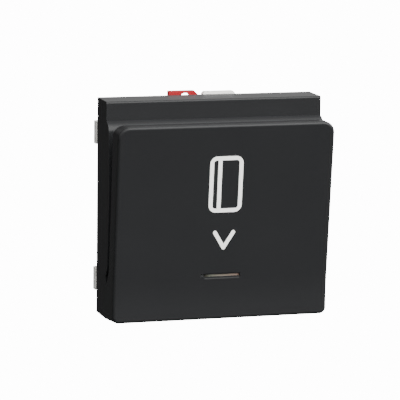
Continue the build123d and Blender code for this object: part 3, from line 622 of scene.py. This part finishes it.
def buildChevron(model, sign):
    half = sign["stroke"] / 2
    left, tip, right = Vector(sign["left"]), Vector(sign["tip"]), Vector(sign["right"])
    downLeft = (tip - left).normalized()
    upRight = (right - tip).normalized()
    innerNormalLeft = Vector((-downLeft.y, downLeft.x))
    innerNormalRight = Vector((-upRight.y, upRight.x))
    inward = (innerNormalLeft + innerNormalRight).normalized()
    crook = tip + inward * half / inward.dot(innerNormalLeft)

    def arc(centre, start, end):
        first = math.atan2(start.y, start.x)
        last = math.atan2(end.y, end.x)
        if last < first:
            last += 2 * math.pi
        points = []
        for step in range(sign["steps"] + 1):
            angle = first + (last - first) * step / sign["steps"]
            points.append((centre.x + half * math.cos(angle), centre.y + half * math.sin(angle)))
        return points

    outline = [tuple(crook)]
    outline += arc(left, innerNormalLeft, -innerNormalLeft)
    outline += arc(tip, -innerNormalLeft, -innerNormalRight)
    outline += arc(right, -innerNormalRight, innerNormalRight)
    raiseOutline(model, outline, sign["lift"], sign["sink"])


ink = makeInk("printedInk", symbolInk)
addPiece("cardOutline", buildCardOutline, cardSign, ink)
addPiece("cardStripe", buildCardStripe, cardSign, ink)
addPiece("chevron", buildChevron, chevronSign, ink)
print("symbols printed")


# The window's sunk edges, painted as a shadow line above and a highlight line below

windowEdges = {
    # painted shadow under the recess's upper edge
    "windowShadow": {
        "left": -0.0036, "right": 0.0039, "low": -0.0126, "top": -0.01238,
        "colour": paint(12, 12, 13),
    },
    # painted highlight along the recess's lower edge
    "windowLipHighlight": {
        "left": -0.0036, "right": 0.0037, "low": -0.01362, "top": -0.01338,
        "colour": paint(52, 52, 52),
    },
}
windowEdgeLightPaint = {
    "specular": 0.2, "grain": 5200.0, "cloud": 700.0, "roughLow": 0.45, "roughHigh": 0.6,
    "lift": 0.00002, "sink": 0.00003,
}


def buildWindowEdge(model, edge):
    left, right, low, top = edge["left"], edge["right"], edge["low"], edge["top"]
    outline = [(left, low), (right, low), (right, top), (left, top)]
    raiseOutline(model, outline, windowEdgeLightPaint["lift"], windowEdgeLightPaint["sink"])


for edgeName, edge in windowEdges.items():
    edgeLightPaint = makeInk(edgeName + "Ink", {**windowEdgeLightPaint, "colour": edge["colour"]})
    addPiece(edgeName, buildWindowEdge, edge, edgeLightPaint)
print("window edges drawn")


# Four pieces fill out corners of the bezel and the cover

skin = 0.000004  # how far inside the faces of the bezel and the cover they stay
bezelLow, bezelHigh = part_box("bezel")
coverLow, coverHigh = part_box("front_cover")
anthracite = finishes["anthracite_plastic"]


# The collar's two upper ends, squared off under its rounded top as in the photograph

collarEnd = {
    "length": 0.0022, "low": 0.0115, "top": 0.0181, "topReach": 0.009, "topRound": 0.0022,
    "kneeHeight": 0.0035, "kneeReach": 0.00945, "steps": 16,
}
collarLean = ((collarEnd["kneeReach"] - collarEnd["topReach"])
              / (collarEnd["top"] - collarEnd["kneeHeight"]))
collarSlant = math.hypot(1, collarLean)


def collarFace(z):
    # The collar's front face, which leans back above its knee
    return (z - collarEnd["kneeHeight"]) * collarLean - collarEnd["kneeReach"]


def buildCollarEnd(model, side):
    c = collarEnd
    radius = c["topRound"] - skin
    centreZ = c["top"] - c["topRound"]
    centreY = collarFace(centreZ) + c["topRound"] * collarSlant
    start = math.pi - math.atan(collarLean)
    finish = math.pi / 2
    profile = [(collarFace(c["low"]) + skin * collarSlant, c["low"])]
    for step in range(c["steps"] + 1):
        angle = start + (finish - start) * step / c["steps"]
        profile.append((centreY + radius * math.cos(angle), centreZ + radius * math.sin(angle)))
    profile.append((centreY, c["low"]))
    outer = bezelHigh[0] - skin
    inner = bezelHigh[0] - c["length"]
    ends = [[model.verts.new((side * x, y, z)) for y, z in profile] for x in (outer, inner)]
    for end in ends:
        model.faces.new(end)
    bridge(model, ends[0], ends[1])


for endName, side in (("collarEndLeft", -1), ("collarEndRight", 1)):
    addPiece(endName, buildCollarEnd, side, anthracite)
print("collar ends squared")


# The cover's two lower corners, which are square at the bezel and grow round towards the front

coverFoot = {
    "cornerRound": 0.0013, "back": -0.0072, "front": -0.0125, "slices": 8, "steps": 8,
    "weld": 0.0000001,
}


def buildCoverFoot(model, side):
    c = coverFoot
    outer = coverHigh[0] - skin
    low = coverLow[2] + skin
    largest = c["cornerRound"] - skin
    innerX = outer - largest
    innerZ = low + largest
    rings = []
    for index in range(c["slices"] + 1):
        share = index / c["slices"]
        y = c["back"] + (c["front"] - c["back"]) * share
        radius = largest * share
        outline = [(outer, innerZ)]
        for step in range(c["steps"] + 1):
            angle = math.radians(-90 * step / c["steps"])
            outline.append((outer - radius + radius * math.cos(angle),
                            low + radius + radius * math.sin(angle)))
        outline += [(innerX, low), (innerX, innerZ)]
        rings.append([model.verts.new((side * x, y, z)) for x, z in outline])
    model.faces.new(rings[0])
    model.faces.new(rings[-1])
    for first, second in zip(rings, rings[1:]):
        bridge(model, first, second)
    bmesh.ops.remove_doubles(model, verts=model.verts, dist=c["weld"])


for footName, side in (("coverFootLeft", -1), ("coverFootRight", 1)):
    addPiece(footName, buildCoverFoot, side, anthracite)
print("cover's lower corners filled")


# Camera, at the place worked out from the photograph

cameraPlace = {
    "place": (-0.16032, -0.5275, 0.09541), "azimuth": -16.835, "elevation": 9.802,
    "roll": 0.718, "lens": 245.9, "sensor": 36.0, "nearest": 0.01, "furthest": 50.0,
}


def makeCamera():
    c = cameraPlace
    turn, rise, roll = (math.radians(c[name]) for name in ("azimuth", "elevation", "roll"))
    back = Vector((math.sin(turn) * math.cos(rise), -math.cos(turn) * math.cos(rise),
                   math.sin(rise)))
    right = (-back).cross(Vector((0, 0, 1))).normalized()
    up = right.cross(-back)
    rolledRight = right * math.cos(roll) + up * math.sin(roll)
    rolledUp = up * math.cos(roll) - right * math.sin(roll)
    data = bpy.data.cameras.new("photoCamera")
    data.lens = c["lens"]
    data.sensor_width = c["sensor"]
    data.clip_start = c["nearest"]
    data.clip_end = c["furthest"]
    camera = bpy.data.objects.new("photoCamera", data)
    bpy.context.scene.collection.objects.link(camera)
    turned = Matrix((rolledRight, rolledUp, back)).transposed().to_4x4()
    camera.matrix_world = Matrix.Translation(c["place"]) @ turned
    bpy.context.scene.camera = camera


makeCamera()
print("camera placed")


# Light: a dome, bright in front and on the right, weak behind and on the left and almost
# dark below. The camera sees plain white instead of the dome and the floor.

studio = {
    "backdrop": 14.0,
    "front": 6.4, "frontEnd": -0.7, "behind": 0.85, "behindEnd": 0.35,
    "leftShare": 0.42, "leftEnd": -0.3, "rightShare": 2.4, "rightEnd": 0.9,
    "below": 0.02, "lowEnd": 0.02, "highEnd": 0.26,
    "floorDrop": 0.03, "floorHalf": 12.0, "floorTone": 0.03,
}
white = (1, 1, 1, 1)


def splitForCamera(tree, elsewhere, seen, target):
    # The camera sees one shader, and everything else is lit by the other
    rays = addNode(tree, "ShaderNodeLightPath", (400, 500))
    choose = addNode(tree, "ShaderNodeMixShader", (650, 0))
    tree.links.new(rays.outputs["Is Camera Ray"], choose.inputs["Fac"])
    tree.links.new(elsewhere, choose.inputs[1])
    tree.links.new(seen, choose.inputs[2])
    tree.links.new(choose.outputs["Shader"], target)


def makeWorld():
    world = bpy.data.worlds.new("studio")
    bpy.context.scene.world = world
    world.use_nodes = True
    tree = world.node_tree
    tree.nodes.clear()
    finish = addNode(tree, "ShaderNodeOutputWorld", (900, 0))
    coords = addNode(tree, "ShaderNodeTexCoord", (-700, 0))
    axes = addNode(tree, "ShaderNodeSeparateXYZ", (-500, 0))
    tree.links.new(coords.outputs["Generated"], axes.inputs["Vector"])
    depth = mapValue(
        tree, (-250, 100), axes.outputs["Y"], studio["front"], studio["behind"],
        studio["frontEnd"], studio["behindEnd"], "SMOOTHSTEP")
    height = mapValue(
        tree, (-250, -200), axes.outputs["Z"], 0.0, 1.0,
        studio["lowEnd"], studio["highEnd"], "SMOOTHSTEP")
    across = mapValue(
        tree, (-250, -500), axes.outputs["X"], studio["leftShare"], studio["rightShare"],
        studio["leftEnd"], studio["rightEnd"], "SMOOTHSTEP")
    upper = calculate(tree, (-50, -300), "MULTIPLY", height, across)
    dome = calculate(tree, (50, 0), "MULTIPLY", depth, upper)
    total = calculate(tree, (200, 0), "ADD", dome, studio["below"])
    glow = addNode(tree, "ShaderNodeBackground", (400, -100))
    tree.links.new(total, glow.inputs["Strength"])
    seen = addNode(tree, "ShaderNodeBackground", (400, 200))
    setInputs(seen, {"Color": white, "Strength": studio["backdrop"]})
    splitForCamera(
        tree, glow.outputs["Background"], seen.outputs["Background"], finish.inputs["Surface"])


def makeFloor():
    half = studio["floorHalf"]
    height = cadLow.z - studio["floorDrop"]
    mesh = bpy.data.meshes.new("paleFloor")
    model = bmesh.new()
    corners = ((-1, -1), (1, -1), (1, 1), (-1, 1))
    model.faces.new([model.verts.new((x * half, y * half, height)) for x, y in corners])
    model.to_mesh(mesh)
    model.free()
    floor = bpy.data.objects.new("paleFloor", mesh)
    bpy.context.scene.collection.objects.link(floor)
    material = bpy.data.materials.new("paleFloor")
    material.use_nodes = True
    tree = material.node_tree
    tree.nodes.clear()
    finish = addNode(tree, "ShaderNodeOutputMaterial", (900, 0))
    tone = studio["floorTone"]
    paper = addNode(tree, "ShaderNodeBsdfDiffuse", (150, 0))
    setInputs(paper, {"Color": (tone, tone, tone, 1)})
    lit = addNode(tree, "ShaderNodeEmission", (150, -200))
    setInputs(lit, {"Color": white, "Strength": studio["backdrop"]})
    splitForCamera(
        tree, paper.outputs["BSDF"], lit.outputs["Emission"], finish.inputs["Surface"])
    mesh.materials.append(material)


frontSoftbox = {
    "place": (0.15, -1.1, 1.25), "size": 1.6, "power": 24.0, "colour": (1.0, 0.99, 0.97),
}


def makeLamp(name, look):
    # A square lamp that faces the part
    data = bpy.data.lights.new(name, "AREA")
    data.shape = "SQUARE"
    data.size = look["size"]
    data.energy = look["power"]
    data.color = look["colour"]
    lamp = bpy.data.objects.new(name, data)
    bpy.context.scene.collection.objects.link(lamp)
    lamp.location = look["place"]
    lamp.rotation_mode = "QUATERNION"
    lamp.rotation_quaternion = (-Vector(look["place"])).to_track_quat("-Z", "Y")


makeWorld()
makeFloor()
makeLamp("frontSoftbox", frontSoftbox)
print("studio set")
